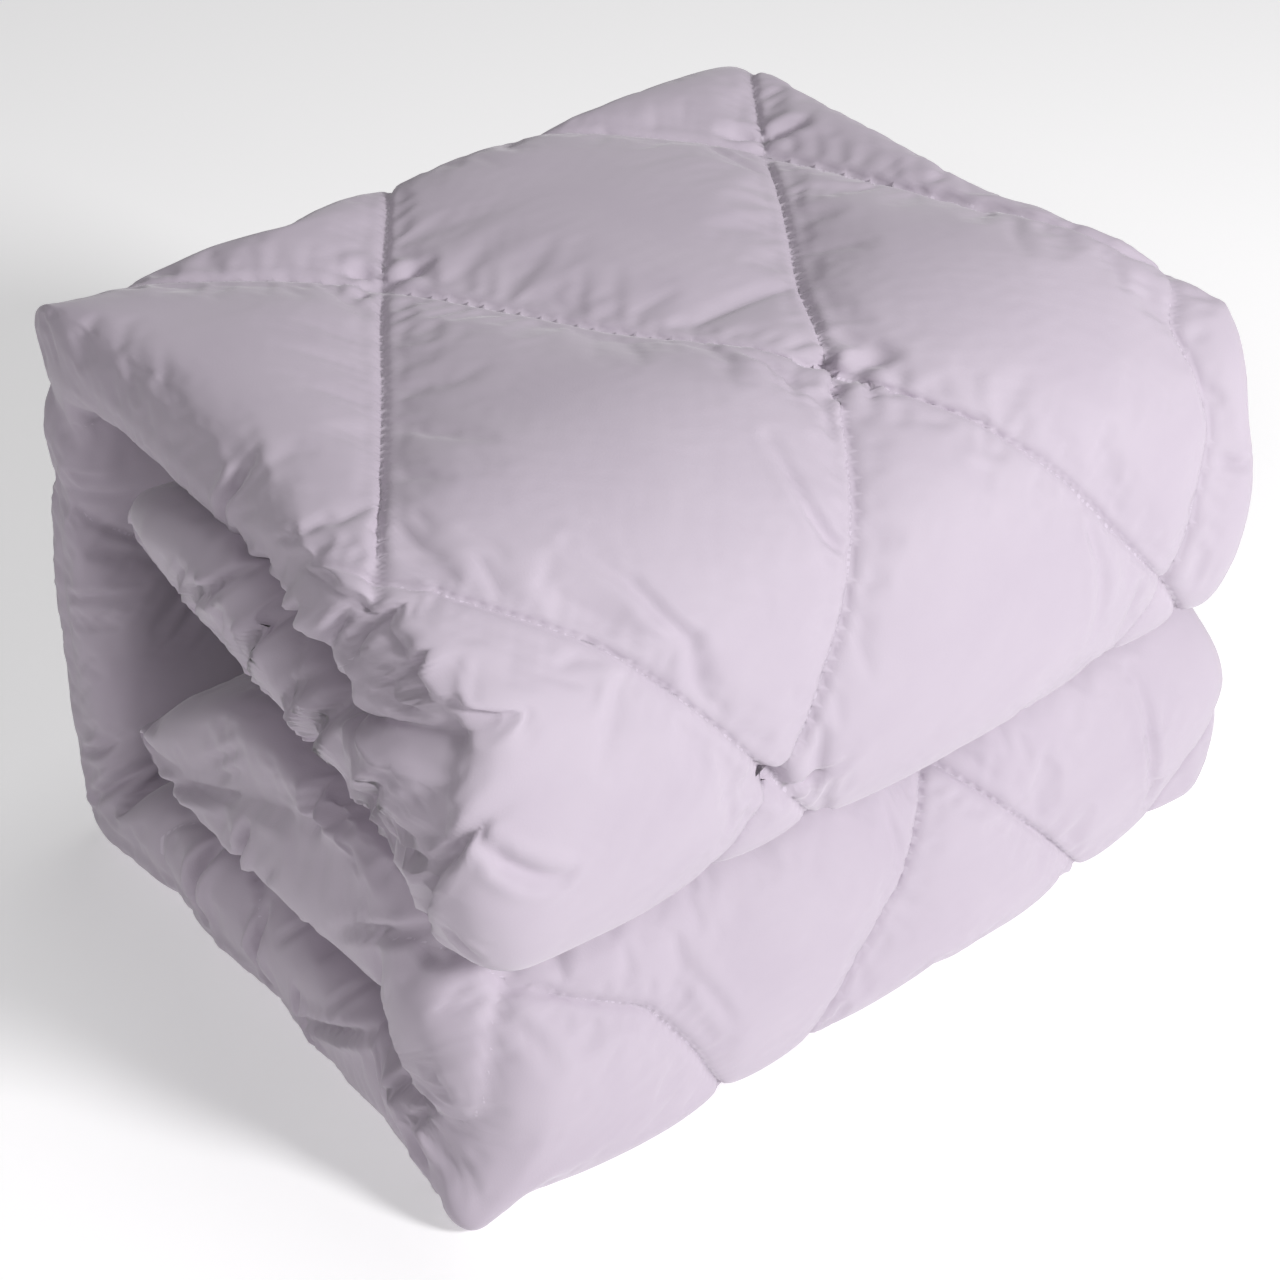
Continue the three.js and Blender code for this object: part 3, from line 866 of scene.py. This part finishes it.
COVER_COLOUR = linear("#BDB3BF")
COVER_SHADE = linear("#B4A9B7")
THREAD_COLOUR = linear("#C6BCC9")

cover = bpy.data.materials.new("brushed_microfibre")
cover.use_nodes = True
tree = cover.node_tree
shader = tree.nodes["Principled BSDF"]
shader.inputs["Roughness"].default_value = 0.68
shader.inputs["Sheen Weight"].default_value = 0.3
shader.inputs["Sheen Roughness"].default_value = 0.45
shader.inputs["Specular IOR Level"].default_value = 0.3

cloth_place = add(tree, "ShaderNodeAttribute", {"attribute_name": "cloth_place"})
seam_place = add(tree, "ShaderNodeAttribute", {"attribute_name": "seam_place"})
# A wave texture of scale s has one band every 2 pi / 20 s
wave_scale = 2 * math.pi / (20 * WEAVE_PITCH)
warp = add(tree, "ShaderNodeTexWave", {"bands_direction": "X", "Scale": wave_scale},
           Vector=cloth_place.outputs["Vector"])
weft = add(tree, "ShaderNodeTexWave", {"bands_direction": "Y", "Scale": wave_scale},
           Vector=cloth_place.outputs["Vector"])
weave = add(tree, "ShaderNodeMath", {"operation": "MULTIPLY"})
tree.links.new(warp.outputs["Fac"], weave.inputs[0])
tree.links.new(weft.outputs["Fac"], weave.inputs[1])
fuzz = add(tree, "ShaderNodeTexNoise", {"Scale": 1 / FUZZ_SIZE, "Detail": 2.0},
           Vector=cloth_place.outputs["Vector"])
mottle = add(tree, "ShaderNodeTexNoise", {"Scale": 1 / MOTTLE_SIZE, "Detail": 3.0},
             Vector=cloth_place.outputs["Vector"])

parts = add(tree, "ShaderNodeSeparateXYZ", Vector=seam_place.outputs["Vector"])
beside = add(tree, "ShaderNodeMath", {"operation": "LESS_THAN"})
beside.inputs[1].default_value = STITCH_WIDTH
tree.links.new(parts.outputs["X"], beside.inputs[0])
turn = add(tree, "ShaderNodeMath", {"operation": "MULTIPLY"})
turn.inputs[1].default_value = 2 * math.pi / STITCH_PITCH
tree.links.new(parts.outputs["Y"], turn.inputs[0])
beat = add(tree, "ShaderNodeMath", {"operation": "SINE"})
tree.links.new(turn.outputs["Value"], beat.inputs[0])
above = add(tree, "ShaderNodeMath", {"operation": "GREATER_THAN"})
above.inputs[1].default_value = STITCH_GAP
tree.links.new(beat.outputs["Value"], above.inputs[0])
stitch = add(tree, "ShaderNodeMath", {"operation": "MULTIPLY"})
tree.links.new(beside.outputs["Value"], stitch.inputs[0])
tree.links.new(above.outputs["Value"], stitch.inputs[1])

cloth_colour = add(tree, "ShaderNodeMixRGB", {"Color1": COVER_COLOUR, "Color2": COVER_SHADE},
                   Fac=mottle.outputs["Fac"])
colour = add(tree, "ShaderNodeMixRGB", {"Color2": THREAD_COLOUR},
             Fac=stitch.outputs["Value"], Color1=cloth_colour.outputs["Color"])
tree.links.new(colour.outputs["Color"], shader.inputs["Base Color"])
weave_bump = add(tree, "ShaderNodeBump", {"Strength": 0.15, "Distance": 0.15 * MM},
                 Height=weave.outputs["Value"])
fuzz_bump = add(tree, "ShaderNodeBump", {"Strength": 0.3, "Distance": 0.25 * MM},
                Height=fuzz.outputs["Fac"], Normal=weave_bump.outputs["Normal"])
stitch_bump = add(tree, "ShaderNodeBump", {"Strength": 0.6, "Distance": 0.5 * MM},
                  Height=stitch.outputs["Value"], Normal=fuzz_bump.outputs["Normal"])
tree.links.new(stitch_bump.outputs["Normal"], shader.inputs["Normal"])
quilt_mesh.materials.append(cover)
print("cover:", len(tree.nodes), "nodes")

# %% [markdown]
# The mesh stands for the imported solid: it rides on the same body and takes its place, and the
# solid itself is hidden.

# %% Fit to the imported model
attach(quilt, "root")
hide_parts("quilt")
print("quilt replaces the packed solid")

# %% [markdown]
# The photograph is a product picture on white. A large soft light from the right of the front makes
# the top and the front faces bright and leaves the left end in half shade. Two weak ones keep that
# shade open. The floor is matt white paper that gives off a little light of its own, which is how a
# backdrop looks that is lit from behind.

# %% Floor and lights
floor_mesh = bpy.data.meshes.new("floor")
floor_mesh.from_pydata([(-6, -6, 0), (6, -6, 0), (6, 6, 0), (-6, 6, 0)], [], [(0, 1, 2, 3)])
floor = bpy.data.objects.new("floor", floor_mesh)
bpy.context.scene.collection.objects.link(floor)
floor_material = bpy.data.materials.new("matt_white_paper")
floor_material.use_nodes = True
floor_shader = floor_material.node_tree.nodes["Principled BSDF"]
floor_shader.inputs["Base Color"].default_value = linear("#F4F3F4")
floor_shader.inputs["Roughness"].default_value = 0.9
floor_shader.inputs["Emission Color"].default_value = (1, 1, 1, 1)
floor_shader.inputs["Emission Strength"].default_value = 0.28
floor_mesh.materials.append(floor_material)

LIT_PLACE = Vector((0, 0, 0.2))


def area_light(name, at, size, power):
    """A round lamp at a place in metres, turned towards the middle of the bundle."""
    data = bpy.data.lights.new(name, "AREA")
    data.shape = "DISK"
    data.size = size
    data.energy = power
    lamp = bpy.data.objects.new(name, data)
    lamp.location = at
    lamp.rotation_euler = (LIT_PLACE - Vector(at)).to_track_quat("-Z", "Y").to_euler()
    bpy.context.scene.collection.objects.link(lamp)


area_light("front_light", (1.0, -2.7, 1.75), 0.8, 92)
area_light("top_light", (0.5, 0.2, 2.8), 1.2, 15)
area_light("side_light", (-2.2, -1.5, 2.3), 0.8, 20)

world = bpy.data.worlds.new("studio")
world.use_nodes = True
world.node_tree.nodes["Background"].inputs["Color"].default_value = (1, 1, 1, 1)
world.node_tree.nodes["Background"].inputs["Strength"].default_value = 0.14
bpy.context.scene.world = world
bpy.context.scene.view_settings.view_transform = "Standard"
print("lights:", len(bpy.data.lights))
